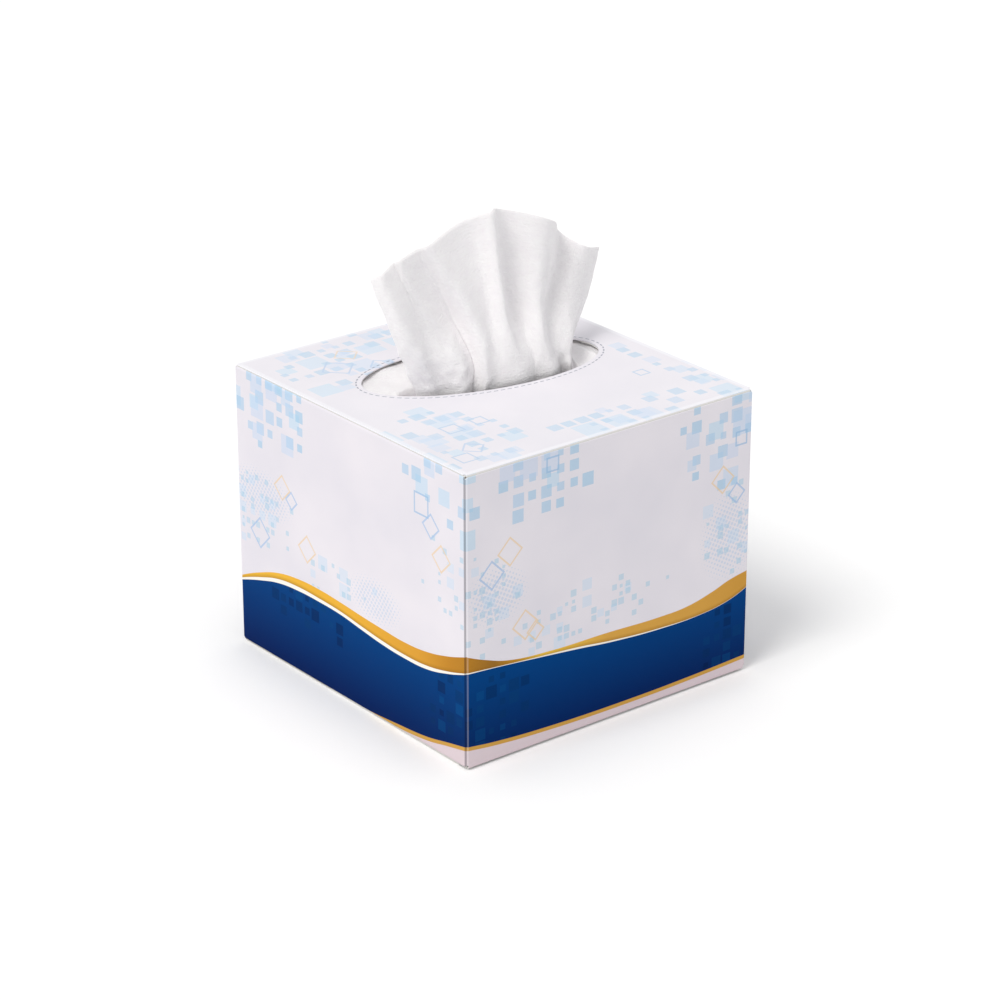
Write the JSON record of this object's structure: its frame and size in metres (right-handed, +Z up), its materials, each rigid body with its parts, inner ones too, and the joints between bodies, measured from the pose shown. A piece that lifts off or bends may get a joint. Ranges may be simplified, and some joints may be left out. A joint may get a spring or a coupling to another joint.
{
  "type": "tissue box",
  "caption": "Square folding carton of facial tissues with an oval tear-out opening in its top and one sheet fanned out above it.",
  "frame": {"origin": "middle of the base of the carton, on the surface that it stands on", "axes": "+Z up, the front wall faces -Y, the left wall faces -X"},
  "size_m": [0.115, 0.12, 0.149],
  "materials": {
    "printed_board": "printed and varnished white folding boxboard",
    "tissue": "soft white two-ply tissue with a fine crepe"
  },
  "bodies": {
    "root": {"carton": "printed_board", "tissue_stack": "tissue", "raised_tissue": "tissue", "next_tissue": "tissue"}
  },
  "joints": []
}
